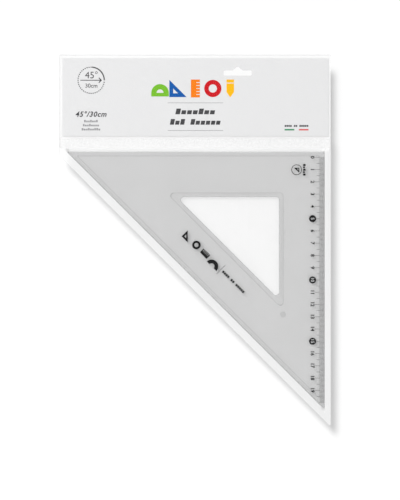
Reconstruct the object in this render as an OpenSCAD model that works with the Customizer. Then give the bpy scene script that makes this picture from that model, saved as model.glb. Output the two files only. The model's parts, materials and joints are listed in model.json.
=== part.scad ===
// A 45 degree set square in its hanging bag: a smoke-tinted plastic triangle with a printed
// centimetre scale, held in a film pocket under a printed header card with a peg slot.
//
// Frame: +Z up, +X to the right as the printed side is read, -Y towards the reader.
// The origin is the centre of a peg seated in the top of the hang slot, on the front film.

/* [Set square] */
// Length of each of the two equal legs
leg = 210; // [160:1:260]
// Thickness of the plate
plate_t = 2; // [1.4:0.1:3]
// Width of the rim between an edge and the triangular cutout
rim_w = 37; // [30:1:45]
// Corner radius of the cutout
cutout_r = 2.5; // [1:0.5:5]
// Width of the ink step along the top edge, the hypotenuse and the cutout
step_w = 3.3; // [2:0.1:5]
// Width of the ink step along the scale edge
scale_step_w = 4; // [3:0.1:6]
// Depth of the ink steps, which lift the drawing edges off the paper
step_d = 0.5; // [0.2:0.1:0.9]
// Diameter of the round mark that the mould's gate leaves
gate_d = 4.6; // [3:0.1:6]
// Depth of the gate mark
gate_depth = 0.2; // [0.1:0.05:0.4]

/* [Scale] */
// Distance from the top edge to the zero of the scale
zero_gap = 4.65; // [3:0.05:8]
// Length of a millimetre graduation
mm_tick = 3.8; // [3:0.1:5]
// Length of a five-millimetre graduation
half_tick = 6.4; // [5:0.1:7]
// Length of a centimetre graduation
cm_tick = 7.8; // [7:0.1:8]
// Width of a printed line
line_w = 0.22; // [0.15:0.01:0.35]
// Height of a numeral
numeral_h = 2.8; // [2:0.1:3.5]
// Distance from the scale edge to the centre of the numerals
numeral_in = 9.7; // [9.7:0.1:12]
// Diameter of the black badge behind every fifth numeral
badge_d = 5.8; // [5:0.1:6.5]

/* [Header card] */
// Height of the card
card_h = 63.5; // [52:0.1:80]
// Thickness of the card
card_t = 0.35; // [0.25:0.05:0.6]
// Film that shows to the left of the card
card_left = 2.6; // [1.5:0.1:5]
// Film that shows to the right of the card
card_right = 1.8; // [1.5:0.1:5]
// Film that shows above the card
card_top = 3; // [2:0.1:6]

/* [Hang slot] */
// Width of the slot's bar
slot_w = 23; // [20:0.5:32]
// Height of the slot's bar
slot_h = 4.2; // [4.2:0.1:6]
// Radius of the corners at the ends of the slot's bar
slot_r = 1.3; // [0.8:0.1:2]
// Radius of the peg seat at the top of the slot
peg_r = 2; // [1.5:0.1:3]
// Height of the peg seat's centre above the bar
peg_rise = 0.8; // [0.5:0.1:2]
// Half the width of the peg seat where it meets the bar
seat_half = 4.3; // [3.5:0.1:6]
// Distance from the card's top edge to the peg seat's centre
slot_drop = 9.2; // [8:0.1:14]
// How far the slot lies to the left of the plate's centre of area, so that the pack hangs level
slot_offset = 0.8; // [0:0.1:2]

/* [Bag] */
// Thickness of the film
film_t = 0.1; // [0.05:0.01:0.15]
// Film margin to the right of the plate
right_margin = 5; // [4:0.1:10]
// Film margin to the left of the plate's sharp corner
left_margin = 6.3; // [5:0.1:10]
// Film margin along the hypotenuse
hyp_margin = 6.6; // [5:0.1:10]
// Distance from the card's bottom edge to the plate's top edge
plate_drop = 12.6; // [11.5:0.1:20]
// Height of the knurled weld under the card
weld_h = 8; // [5:0.5:9]
// Gap between the card's bottom edge and the weld
weld_gap = 1.7; // [1:0.1:2.4]
// Width of the melted bead at the bag's cut edges
bead_w = 0.4; // [0.3:0.05:0.8]
// Clearance between the plate and the film round it
plate_clear = 0.25; // [0.2:0.05:0.5]
// Clearance between the plate's edges and the pocket's side walls
edge_clear = 0.8; // [0.5:0.1:2]
// Air between layers that only lie on each other
layer_gap = 0.02; // [0.01:0.01:0.05]

/* [Closing flap] */
// Height of the flap above its fold
flap_h = 24; // [18:1:32]
// How far above the card's bottom edge the fold lies
fold_up = 2.3; // [1:0.1:6]
// How much the flap narrows towards its free edge, on each side
flap_taper = 8; // [2:1:15]
// Radius of the rolled fold
fold_r = 0.2; // [0.15:0.05:0.3]
// Height of the adhesive strip
tape_h = 9; // [5:0.5:12]
// Thickness of the adhesive strip
tape_t = 0.1; // [0.05:0.01:0.15]
// Distance from the flap's free edge to the strip
tape_in = 3; // [1:0.5:5]

/* [Print] */
// Thickness that stands for a layer of ink
ink_t = 0.04; // [0.02:0.01:0.05]
// Height of the row of drawing-tool symbols on the card
symbol_h = 14.6; // [12:0.1:16]
// Radius of the dotted ring round the angle symbol
icon_r = 10.7; // [9:0.1:12]

/* [Hidden] */
$fn = 48;
ROUND = 8;         // steps in a rounded corner of an outline
CUT = 1;           // how far a cutting shape runs past what it cuts

// Layers from front to back, each named by the y where it starts.
card_ink_y = film_t + layer_gap;
card_y = card_ink_y + ink_t;
header_back_y = card_y + card_t + layer_gap;
header_end_y = header_back_y + film_t;
plate_ink_y = header_end_y + plate_clear;
plate_y = plate_ink_y + ink_t;
pocket_y = plate_y + plate_t + plate_clear;

// Everything hangs from the peg seat: the card below it, then the plate, whose centre of area
// lies a third of a leg in from the scale edge.
card_z1 = slot_drop;
card_z0 = card_z1 - card_h;
plate_z = card_z0 - plate_drop;         // top edge of the plate
plate_x = leg / 3 + slot_offset;        // scale edge of the plate
bag_x0 = plate_x - leg - left_margin;
bag_x1 = plate_x + right_margin;
bag_z1 = card_z1 + card_top;
card_x0 = bag_x0 + card_left;
card_x1 = bag_x1 - card_right;
card_w = card_x1 - card_x0;
pocket_x0 = plate_x - leg - edge_clear; // inner faces of the pocket's sides
pocket_x1 = plate_x + edge_clear;
weld_z1 = card_z0 - weld_gap;
weld_z0 = weld_z1 - weld_h;
hyp_sum = plate_x - leg + plate_z;      // x + z along the plate's hypotenuse
bag_sum = hyp_sum - hyp_margin * sqrt(2);

fold_z = card_z0 + fold_up;
fold_y = pocket_y + film_t / 2;
flap_back = fold_y - film_t / 2 - tape_t - header_end_y - layer_gap * 2;
flap_lean = asin(flap_back / flap_h);

// The scale runs down the right-hand leg for as many whole centimetres as fit.
scale_z = plate_z - zero_gap;
scale_mm = floor((leg - zero_gap - 5) / 10) * 10;
tick_end = 1;                           // bare plate left between a graduation and the hypotenuse
badge_every = 5;

// ---------- outlines, drawn in x and z ----------

// Points on an arc about c, from angle a0 to a1.
function arc(c, r, a0, a1, n = ROUND) =
    [for (i = [0:n]) c + r * [cos(a0 + (a1 - a0) * i / n), sin(a0 + (a1 - a0) * i / n)]];

// A right-angled 45 degree triangle whose right angle is its top right corner, with side d
// inside the plate's edges and corners of radius r.
function tri(d, r, right = undef) =
    let (
        x = plate_x - (right == undef ? d : right) - r,
        z = plate_z - d - r,
        s = hyp_sum + (d + r) * sqrt(2)
    )
    r == 0
        ? [[x, z], [s - z, z], [x, s - x]]
        : concat(arc([x, z], r, 0, 90), arc([s - z, z], r, 90, 225), arc([x, s - x], r, 225, 360));

// The bag's outline, pulled in by d, between two heights.
function bag(d, top = bag_z1, bottom = undef) =
    let (
        x0 = bag_x0 + d,
        x1 = bag_x1 - d,
        z1 = min(top, bag_z1 - d),
        s = bag_sum + d * sqrt(2)
    )
    bottom == undef
        ? [[x0, z1], [x0, s - x0], [x1, s - x1], [x1, z1]]
        : [[x0, z1], [x0, bottom], [x1, bottom], [x1, z1]];

// The pocket's inner outline, clear of the plate by edge_clear, up to a height.
function pocket(d, top) =
    let (
        x0 = pocket_x0 - d,
        x1 = pocket_x1 + d,
        s = hyp_sum - (edge_clear + d) * sqrt(2)
    )
    [[x0, top], [x0, s - x0], [x1, s - x1], [x1, top]];

// The hang slot: a bar with round corners, and a seat for the peg in the middle of its top.
function slot_outline() =
    let (
        end_x = slot_w / 2 - slot_r,
        top_z = -peg_rise - slot_r,
        low_z = -peg_rise - slot_h + slot_r
    )
    concat(
        arc([-end_x, top_z], slot_r, 90, 180),
        arc([-end_x, low_z], slot_r, 180, 270),
        arc([end_x, low_z], slot_r, -90, 0),
        arc([end_x, top_z], slot_r, 0, 90),
        [[seat_half, -peg_rise]],
        arc([0, 0], peg_r, 25, 155),
        [[-seat_half, -peg_rise]]
    );

// Turns an outline drawn in x and z into a sheet from y to y + t.
module sheet(y, t) {
    translate([0, y + t, 0]) rotate([90, 0, 0]) linear_extrude(t) children();
}

// A patch of ink on the card's face, and one on the plate's face.
module card_ink() {
    sheet(card_ink_y, ink_t) children();
}

module plate_ink() {
    sheet(plate_ink_y, ink_t) children();
}

module ring(r, w) {
    difference() {
        circle(r);
        circle(r - w);
    }
}

// ---------- figures ----------

// Bars of a plain seven-bar figure, for 0 to 9.
BARS = ["abcdef", "bc", "abged", "abgcd", "fgbc", "afgcd", "afgedc", "abc", "abcdefg", "abcdfg"];

// One bar of a figure h tall: a top, b and c right, d bottom, e and f left, g middle.
module bar(name, h) {
    w = h * 0.55;
    t = h * 0.14;
    if (name == "a") translate([0, h - t]) square([w, t]);
    if (name == "b") translate([w - t, h / 2 - t / 2]) square([t, h / 2 + t / 2]);
    if (name == "c") translate([w - t, 0]) square([t, h / 2 + t / 2]);
    if (name == "d") square([w, t]);
    if (name == "e") square([t, h / 2 + t / 2]);
    if (name == "f") translate([0, h / 2 - t / 2]) square([t, h / 2 + t / 2]);
    if (name == "g") translate([0, h / 2 - t / 2]) square([w, t]);
}

// A whole number h tall, centred on the origin.
module figures(number, h) {
    digits = str(number);
    pitch = h * 0.72;
    for (i = [0:len(digits) - 1]) {
        bars = BARS[ord(digits[i]) - 48];
        translate([(i - len(digits) / 2) * pitch + h * 0.085, -h / 2])
            for (b = bars) bar(b, h);
    }
}

// A line of stand-in lettering: one block for each letter, with a gap between words.
module blocks(letters, w, h) {
    pitch = w / len(letters);
    for (i = [0:len(letters) - 1])
        if (letters[i] != " ") {
            tall = letters[i] == "l" ? 1 : 0.7;
            translate([-w / 2 + (i + 0.1) * pitch, -h / 2]) square([pitch * 0.8, h * tall]);
        }
}

// ---------- the set square ----------

cutout_tip_z = hyp_sum + rim_w * sqrt(2) - plate_x + rim_w;

module plate() {
    color([0.55, 0.56, 0.57, 0.5])
    difference() {
        sheet(plate_y, plate_t) difference() {
            polygon(tri(0, 0));
            polygon(tri(rim_w, cutout_r));
        }
        // ink step round the outer edges, cut from the back
        sheet(plate_y + plate_t - step_d, step_d + CUT) difference() {
            translate([CUT, CUT]) polygon(tri(-3 * CUT, 0));
            polygon(tri(step_w, 0, right = scale_step_w));
        }
        // ink step round the cutout
        sheet(plate_y + plate_t - step_d, step_d + CUT)
            polygon(tri(rim_w - step_w, cutout_r));
        // the gate's round mark, in the back face under the cutout's lower corner
        translate([plate_x - rim_w + 3.4, plate_y + plate_t - gate_depth, cutout_tip_z - 12.2])
            rotate([-90, 0, 0]) cylinder(d = gate_d, h = gate_depth + CUT);
    }
}

// One graduation, k millimetres down the scale, ending short of the hypotenuse.
module tick(k, length) {
    room = leg - zero_gap - k - tick_end;
    translate([plate_x - min(length, room), scale_z - k - line_w / 2])
        square([min(length, room), line_w]);
}

module millimetre_ticks() {
    color("black") plate_ink() for (k = [1:scale_mm - 1]) if (k % 5 != 0) tick(k, mm_tick);
}

module half_centimetre_ticks() {
    color("black") plate_ink() for (k = [5:10:scale_mm - 5]) tick(k, half_tick);
}

module centimetre_ticks() {
    color("black") plate_ink() for (k = [0:10:scale_mm]) tick(k, cm_tick);
}

// Puts a numeral beside centimetre n, with its top towards the scale edge.
module beside(n) {
    translate([plate_x - numeral_in, scale_z - 10 * n]) rotate(-90) children();
}

module scale_numerals() {
    color("black") plate_ink()
        for (n = [0:scale_mm / 10 - 1])
            if (n == 0 || n % badge_every != 0) beside(n) figures(n, numeral_h);
}

module numeral_badges() {
    color("black") plate_ink()
        for (n = [badge_every:badge_every:scale_mm / 10 - 1])
            beside(n) difference() {
                circle(d = badge_d);
                figures(n, numeral_h);
            }
}

// The printed row between the hypotenuse and the cutout: u along it from the hypotenuse's
// middle, v across it.
row_in = 20.8;
module along_row(u, v = 0) {
    translate([plate_x - leg / 2, plate_z - leg / 2]) rotate(-45)
        translate([u, row_in + v]) children();
}

// Four drawing-tool symbols: a set square, a disc, a ruler and a protractor.
module plate_symbols() {
    h = 7;
    color("black") plate_ink() {
        along_row(-30) difference() {
            polygon([[-h / 2, -h / 2], [h / 2, -h / 2], [-h / 2, h / 2]]);
            translate([-h * 0.28, -h * 0.28]) polygon([[0, 0], [h * 0.3, 0], [0, h * 0.3]]);
        }
        along_row(-20) ring(h / 2, h * 0.26);
        along_row(-10) difference() {
            square([h * 1.1, h * 0.62], center = true);
            for (i = [-2:2]) translate([i * 1.3 - 0.2, 0]) square([0.4, h]);
        }
        along_row(1, -h / 2) difference() {
            circle(h * 0.78);
            circle(h * 0.34);
            translate([-h, -2 * h]) square([2 * h, 2 * h]);
        }
    }
}

module plate_divider() {
    color("black") plate_ink() along_row(8.3) square([1.5 * line_w, 10], center = true);
}

module plate_small_print() {
    color("black") plate_ink() along_row(22.5) blocks("llll ll lllll", 24.9, 2);
}

seal_at = [plate_x - 22.7, plate_z - 14.8];
seal_r = 4.3;

module plate_seal() {
    color("black") plate_ink() translate(seal_at) {
        ring(seal_r, 0.5);
        difference() {
            polygon([[-2.2, 1.6], [2.2, 1.6], [2.2, -2.4]]);
            polygon([[0.2, 0.9], [1.5, 0.9], [1.5, -0.4]]);
        }
    }
}

module plate_side_print() {
    color("black") plate_ink()
        translate([plate_x - 16.4, plate_z - 14.8]) rotate(-90) blocks("lxlxl", 9.8, 2);
}

// ---------- the bag ----------

module front_film() {
    color([0.95, 0.97, 1, 0.25]) sheet(0, film_t) difference() {
        polygon(bag(bead_w));
        polygon(slot_outline());
    }
}

module header_back_film() {
    color([0.9, 0.92, 0.95, 0.3]) sheet(header_back_y, film_t) difference() {
        polygon(bag(bead_w, bottom = weld_z0));
        polygon(slot_outline());
    }
}

// The pocket's back lies flat behind the plate, and its top edge is the pocket's mouth.
mouth_z = fold_z - fold_r - 0.1;

module pocket_back_film() {
    color([0.9, 0.92, 0.95, 0.3]) sheet(pocket_y, film_t) polygon(pocket(film_t, mouth_z));
}

// The stretch between two outlines of four corners, along side i: 0 left, 1 slanted, 2 right.
function strip(inner, outer, i) = [inner[i], inner[i + 1], outer[i + 1], outer[i]];

// One side's wall, from the front film to the back film.
module pocket_wall(i) {
    sheet(film_t, pocket_y - film_t) polygon(strip(pocket(0, weld_z0), pocket(film_t, weld_z0), i));
}

// One side's rim, beyond its wall, which is welded to the front film.
module pocket_rim(i) {
    color([0.9, 0.92, 0.95, 0.3]) sheet(film_t, film_t)
        polygon(strip(pocket(film_t, weld_z0), bag(bead_w, top = weld_z0), i));
}

// The same wall behind the header, where it is welded to the header's back film.
module wall_behind_header(x) {
    translate([x, header_end_y, weld_z0])
        cube([film_t, pocket_y - header_end_y, mouth_z - weld_z0]);
}

module pocket_left_wall() {
    color([0.9, 0.92, 0.95, 0.3]) {
        pocket_wall(0);
        wall_behind_header(pocket_x0 - film_t);
    }
}

module pocket_slanted_wall() {
    color([0.9, 0.92, 0.95, 0.3]) pocket_wall(1);
}

module pocket_right_wall() {
    color([0.9, 0.92, 0.95, 0.3]) {
        pocket_wall(2);
        wall_behind_header(pocket_x1);
    }
}

module pocket_left_rim() {
    pocket_rim(0);
}

module pocket_slanted_rim() {
    pocket_rim(1);
}

module pocket_right_rim() {
    pocket_rim(2);
}

// The knurled weld between the front film and the header's back film, under the card.
module header_weld() {
    color([0.92, 0.93, 0.95, 0.5]) sheet(film_t, header_back_y - film_t)
        polygon(bag(bead_w, top = weld_z1, bottom = weld_z0));
}

// The melted bead where the bag was cut and sealed: thin round the pocket, and as deep as
// the header's layers round the header.
module edge_bead() {
    color([0.96, 0.97, 1, 0.6]) {
        sheet(0, 2 * film_t) difference() {
            polygon(bag(0, top = weld_z0));
            polygon(bag(bead_w, top = weld_z0 + CUT));
        }
        sheet(0, header_end_y) difference() {
            polygon(bag(0, bottom = weld_z0));
            polygon(bag(bead_w, bottom = weld_z0 - CUT));
        }
    }
}

module header_card() {
    color([0.92, 0.92, 0.92]) sheet(card_y, card_t) difference() {
        translate([card_x0, card_z0]) square([card_w, card_h]);
        polygon(slot_outline());
    }
}

// ---------- the card's print ----------

// The artwork was drawn for a card 63.5 mm high, and it scales with the card's height.
art = card_h / 63.5;

// Places print by its distance below the card's top edge, and from the card's left edge, its
// middle or its right edge.
module from_left(x, down) {
    translate([card_x0 + x * art, card_z1 - down * art]) scale(art) children();
}

module from_middle(x, down) {
    translate([card_x0 + card_w / 2 + x * art, card_z1 - down * art]) scale(art) children();
}

module from_right(x, down) {
    translate([card_x1 - x * art, card_z1 - down * art]) scale(art) children();
}

icon_x = 23.5;
icon_down = 18;
ring_line = 0.8;
ring_dots = 40;
first_dot = 10;         // the dots before this one would lie under the arc

module icon_dotted_ring() {
    color("dimgray") card_ink() from_left(icon_x, icon_down)
        for (i = [first_dot:ring_dots - 1])
            rotate(i * 360 / ring_dots) translate([icon_r, 0])
                square([ring_line, icon_r * PI / ring_dots], center = true);
}

module icon_arc() {
    w = 1.2 * ring_line;
    color("dimgray") card_ink() from_left(icon_x, icon_down)
        polygon(concat(arc([0, 0], icon_r + w / 2, 0, 86, 3 * ROUND),
                       arc([0, 0], icon_r - w / 2, 86, 0, 3 * ROUND)));
}

module icon_arrow() {
    length = 17.6;
    color("dimgray") card_ink() from_left(icon_x, icon_down) {
        translate([-length / 2, -0.3]) square([length - 1, 0.6]);
        translate([length / 2, 0])
            polygon([[0, 0], [-2.3, 2.3], [-2.8, 1.8], [-1.3, 0], [-2.8, -1.8], [-2.3, -2.3]]);
    }
}

module degree(h) {
    translate([h * 0.2, h * 0.3]) ring(h * 0.17, h * 0.09);
}

// The letters c and m, drawn from bars, for the unit.
module unit_cm(h) {
    t = h * 0.12;
    x = h * 0.6;
    for (b = "deg") translate([0, -h / 2]) bar(b, h);
    for (i = [0:2]) translate([x + i * h * 0.3, -h / 2]) square([t, h * 0.56]);
    translate([x, h * 0.06 - t]) square([h * 0.72, t]);
}

module icon_figures() {
    color("dimgray") card_ink() from_left(icon_x, icon_down) {
        translate([-1, 3.8]) figures(45, 4.8);
        translate([3.2, 4.2]) degree(4.8);
        translate([-2, -4.3]) figures(30, 2.8);
        translate([0.6, -4.3]) unit_cm(2.8);
    }
}

module size_figures() {
    h = 3.9;
    color("dimgray") card_ink() from_left(23.3, 45.5) {
        translate([-8.6, 0]) figures(45, h);
        translate([-5.4, 0.5]) degree(h);
        translate([-2.4, 0]) rotate(-18) square([0.6, h * 1.3], center = true);
        translate([2.4, 0]) figures(30, h);
        translate([6.2, 0]) unit_cm(h);
    }
}

// Three short lines of small print, each a little longer than the last.
module small_lines() {
    lines = ["lxxlxxl", "lxxlxxxx", "lxxlxxllx"];
    color("dimgray") card_ink()
        for (i = [0:2]) from_left(23.3, 51.3 + i * 3.3) blocks(lines[i], 11.4 + i * 2, 1.9);
}

// The row of five drawing-tool symbols in the middle of the card.
symbol_pitch = 14.2;
module in_row(i) {
    from_middle((i - 2) * symbol_pitch, 24.7) children();
}

module symbol_protractor() {
    r = symbol_h * 0.49;
    base = symbol_h * 0.2;
    color([0.4, 0.7, 0.1]) card_ink() in_row(0) translate([-0.4, -r / 2]) {
        difference() {
            circle(r);
            circle(r * 0.4);
            translate([-2 * r, -4 * r]) square([4 * r, 4 * r]);
        }
        translate([-r, -base]) square([2 * r, base + 0.01]);
    }
}

module symbol_set_square() {
    s = symbol_h * 0.96;
    color([0, 0.34, 0.65]) card_ink() in_row(1) translate([-s / 2, -s / 2]) difference() {
        polygon([[0, 0], [s, 0], [0, s]]);
        translate([s * 0.22, s * 0.22]) polygon([[0, 0], [s * 0.28, 0], [0, s * 0.28]]);
    }
}

module symbol_ruler() {
    w = symbol_h * 0.5;
    color([0.93, 0.4, 0]) card_ink() in_row(2) difference() {
        square([w, symbol_h], center = true);
        for (i = [-2:2]) translate([w * 0.1, i * symbol_h / 6 - 0.3]) square([w, 0.6]);
    }
}

module symbol_circle() {
    color([0.72, 0.01, 0.02]) card_ink() in_row(3) ring(symbol_h * 0.48, symbol_h * 0.25);
}

module symbol_pencil() {
    w = symbol_h * 0.42;
    color([0.95, 0.65, 0]) card_ink() in_row(4) difference() {
        polygon([[-w / 2, symbol_h / 2], [w / 2, symbol_h / 2], [w / 2, -symbol_h * 0.2],
                 [0, -symbol_h / 2], [-w / 2, -symbol_h * 0.2]]);
        translate([-w, symbol_h * 0.28]) square([2 * w, 0.7]);
    }
}

// Leans print to the right, as italics do.
module slanted() {
    multmatrix([[1, 0.2, 0, 0], [0, 1, 0, 0], [0, 0, 1, 0], [0, 0, 0, 1]]) children();
}

module title_rules() {
    color("gray") card_ink()
        for (down = [36.4, 58.9]) from_middle(0, down) square([45.2, 0.35], center = true);
}

module title_lines() {
    color([0.25, 0.25, 0.25]) card_ink() {
        from_middle(0, 43.4) slanted() blocks("lxxxlxx", 32.7, 4.6);
        from_middle(0, 51.9) slanted() blocks("lxl lxxxxx", 41.6, 4.6);
    }
}

module origin_line() {
    color("dimgray") card_ink() from_right(26.1, 55.2) blocks("llll ll lllll", 19.5, 1.5);
}

module origin_green_bar() {
    color([0.1, 0.5, 0.3]) card_ink() from_right(31.8, 58.3) square([7.9, 1.2], center = true);
}

module origin_red_bar() {
    color([0.85, 0.2, 0.2]) card_ink() from_right(20.2, 58.3) square([7.8, 1.2], center = true);
}

// ---------- the closing flap ----------

// Places what lies on the flap: u along the fold, v up the flap, w out of its back.
module on_flap() {
    translate([0, fold_y, fold_z]) rotate([flap_lean, 0, 0]) children();
}

// The film above the fold, tapering to its free edge, with the rolled fold it turns on.
module closing_flap() {
    color([0.85, 0.88, 0.92, 0.35]) on_flap() {
        translate([pocket_x0, 0, 0]) rotate([0, 90, 0]) cylinder(r = fold_r, h = pocket_x1 - pocket_x0);
        sheet(-film_t / 2, film_t) polygon([
            [pocket_x0, 0], [pocket_x1, 0],
            [pocket_x1 - flap_taper, flap_h], [pocket_x0 + flap_taper, flap_h]
        ]);
    }
}

module adhesive_strip() {
    inset = flap_taper + 1;
    color([0.8, 0.8, 0.75, 0.6]) on_flap()
        sheet(-film_t / 2 - tape_t, tape_t)
            translate([pocket_x0 + inset, flap_h - tape_in - tape_h])
                square([pocket_x1 - pocket_x0 - 2 * inset, tape_h]);
}

plate();
millimetre_ticks();
half_centimetre_ticks();
centimetre_ticks();
scale_numerals();
numeral_badges();
plate_symbols();
plate_divider();
plate_small_print();
plate_seal();
plate_side_print();
front_film();
header_back_film();
pocket_back_film();
pocket_left_wall();
pocket_slanted_wall();
pocket_right_wall();
pocket_left_rim();
pocket_slanted_rim();
pocket_right_rim();
header_weld();
edge_bead();
header_card();
icon_dotted_ring();
icon_arc();
icon_arrow();
icon_figures();
size_figures();
small_lines();
symbol_protractor();
symbol_set_square();
symbol_ruler();
symbol_circle();
symbol_pencil();
title_rules();
title_lines();
origin_line();
origin_green_bar();
origin_red_bar();
closing_flap();
adhesive_strip();
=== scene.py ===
# %% [markdown]
# # A set square in its hanging bag
# The object is a triangle of smoke-tinted clear plastic in a film bag that hangs from a peg by a
# printed card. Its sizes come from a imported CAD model, which is loaded as a fixed frame. The
# card and the print keep their CAD shapes and get finishes here. The plate, the films, the weld,
# the melted rim and the figures are rebuilt as meshes, since they need soft edges, folds and
# ridges that CAD solids leave out.

import json
import math

import bmesh
import bpy
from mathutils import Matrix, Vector, noise
from mathutils.geometry import delaunay_2d_cdt


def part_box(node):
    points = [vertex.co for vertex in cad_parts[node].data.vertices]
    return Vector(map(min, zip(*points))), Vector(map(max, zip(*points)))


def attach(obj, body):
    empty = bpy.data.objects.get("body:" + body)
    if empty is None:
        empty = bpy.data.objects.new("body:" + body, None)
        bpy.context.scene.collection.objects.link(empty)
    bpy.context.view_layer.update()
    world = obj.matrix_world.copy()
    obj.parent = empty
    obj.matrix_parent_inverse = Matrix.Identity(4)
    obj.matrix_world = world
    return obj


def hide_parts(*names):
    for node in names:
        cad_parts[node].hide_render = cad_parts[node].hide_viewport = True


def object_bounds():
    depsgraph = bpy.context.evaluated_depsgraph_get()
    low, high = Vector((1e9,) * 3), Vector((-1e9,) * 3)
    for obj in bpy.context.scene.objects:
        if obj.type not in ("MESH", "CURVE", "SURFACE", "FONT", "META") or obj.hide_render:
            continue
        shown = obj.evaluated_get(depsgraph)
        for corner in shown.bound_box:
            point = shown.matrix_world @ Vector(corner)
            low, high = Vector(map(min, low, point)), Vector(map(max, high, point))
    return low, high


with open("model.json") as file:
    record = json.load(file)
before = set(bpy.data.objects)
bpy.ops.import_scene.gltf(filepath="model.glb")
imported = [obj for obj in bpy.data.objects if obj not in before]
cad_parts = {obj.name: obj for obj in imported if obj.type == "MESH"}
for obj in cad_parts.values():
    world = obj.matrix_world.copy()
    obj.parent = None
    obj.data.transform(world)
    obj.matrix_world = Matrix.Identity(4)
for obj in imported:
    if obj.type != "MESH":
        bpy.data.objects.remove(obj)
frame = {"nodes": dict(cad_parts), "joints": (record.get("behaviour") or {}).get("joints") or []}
cad_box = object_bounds()
print("CAD nodes:", len(frame["nodes"]))

# %% [markdown]
# ## Measure the frame
# Every place below comes from the boxes of the CAD nodes. The bag is a rectangle with its lower
# left half cut away at 45 degrees, and the plate is a right-angled triangle, so two corners of a
# box are enough to draw either outline.

# %% Corners of the bag and the plate
MM = 0.001
bag_low, bag_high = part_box("edge_bead")
plate_low, plate_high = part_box("plate")
card_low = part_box("header_card")[0]
weld_low, weld_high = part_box("header_weld")
front_low, front_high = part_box("front_film")
header_low, header_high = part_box("header_back_film")
back_low, back_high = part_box("pocket_back_film")
flap_low, flap_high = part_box("closing_flap")
tape_low, tape_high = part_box("adhesive_strip")
bag_sum = bag_high.x + bag_low.z        # x + z along the bag's slanted edge
plate_sum = plate_high.x + plate_low.z  # x + z along the plate's hypotenuse
print("bag:", [round(v / MM, 1) for v in (bag_high.x - bag_low.x, bag_high.z - bag_low.z)], "mm")

# %% Outlines in x and z
def rounded(corners, radius, steps=6):
    """The corners as an outline, each one replaced by a small arc."""
    outline = []
    for i, here in enumerate(corners):
        before = (corners[i - 1] - here).normalized()
        after = (corners[(i + 1) % len(corners)] - here).normalized()
        half = before.angle(after) / 2
        centre = here + (before + after).normalized() * radius / math.sin(half)
        start = here + before * radius / math.tan(half) - centre
        end = here + after * radius / math.tan(half) - centre
        for k in range(steps + 1):
            outline.append(centre + start.lerp(end, k / steps).normalized() * radius)
    return outline


def bag_outline(inset, radius=0.6 * MM, top=None):
    """The bag's cut edge, pulled in by inset, up to a height."""
    x0, x1 = bag_low.x + inset, bag_high.x - inset
    z1 = min(bag_high.z - inset, top or 1)
    edge = bag_sum + inset * math.sqrt(2)
    corners = [(x0, z1), (x0, edge - x0), (x1, edge - x1), (x1, z1)]
    return rounded([Vector(c) for c in corners], radius)


def plate_outline(inset, radius, right=None):
    """A triangle inside the plate's edges, pulled in by inset, or by another amount on the right."""
    x = plate_high.x - (inset if right is None else right)
    z = plate_high.z - inset
    edge = plate_sum + inset * math.sqrt(2)
    return rounded([Vector((x, z)), Vector((edge - z, z)), Vector((x, edge - x))], radius)


print("points round the bag:", len(bag_outline(0)))

# %% [markdown]
# ## Cut flat pieces from outlines
# Film, plate faces and ink are all flat stock with an outline, and sometimes holes. Blender's
# constrained Delaunay triangulation cuts such a piece and takes loose points inside it too. With
# points inside, a film can be bent and wrinkled afterwards. A face without them would stay flat.

# %% Triangulate an outline
def inside(point, outline):
    """Whether a point in x and z lies inside an outline."""
    crossings = 0
    for a, b in zip(outline, outline[1:] + outline[:1]):
        if (a.y > point.y) != (b.y > point.y):
            at = a.x + (point.y - a.y) * (b.x - a.x) / (b.y - a.y)
            crossings += point.x < at
    return crossings % 2 == 1


def cut(outlines, pitch=None, guides=()):
    """Points and triangles inside the first outline and outside the others, finer on guides."""
    points, edges = [], []
    for outline in outlines:
        first = len(points)
        points += outline
        count = len(outline)
        edges += [(first + i, first + (i + 1) % count) for i in range(count)]
    if pitch:
        points += filling(outlines[0], pitch)
    for guide in guides:
        spots = dotted(guide, pitch)
        first = len(points)
        points += spots
        edges += [(first + i, first + (i + 1) % len(spots)) for i in range(len(spots))]
    made = delaunay_2d_cdt(points, edges, [], 0, 1e-9)
    keep = []
    for tri in made[2]:
        middle = sum((made[0][i] for i in tri), Vector((0, 0))) / 3
        if inside(middle, outlines[0]) and not any(inside(middle, o) for o in outlines[1:]):
            keep.append(tri)
    return made[0], keep


def dotted(outline, pitch):
    """Points along an outline, about a pitch apart."""
    spots = []
    for a, b in zip(outline, outline[1:] + outline[:1]):
        parts = max(1, round((b - a).length / pitch))
        spots += [a.lerp(b, k / parts) for k in range(parts)]
    return spots


def filling(outline, pitch):
    """A grid of points inside an outline. Every other row is shifted by half a step."""
    xs = [p.x for p in outline]
    zs = [p.y for p in outline]
    spots = []
    for row in range(1, int((max(zs) - min(zs)) / pitch)):
        z = min(zs) + row * pitch
        crossed = []
        for a, b in zip(outline, outline[1:] + outline[:1]):
            if (a.y > z) != (b.y > z):
                crossed.append(a.x + (z - a.y) * (b.x - a.x) / (b.y - a.y))
        if len(crossed) < 2:
            continue
        x = min(xs) + (row % 2) * pitch / 2
        while x < max(crossed) - pitch / 2:
            if x > min(crossed) + pitch / 2:
                spots.append(Vector((x, z)))
            x += pitch
    return spots


print("triangles of a plain bag:", len(cut([bag_outline(0)])[1]))

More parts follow.
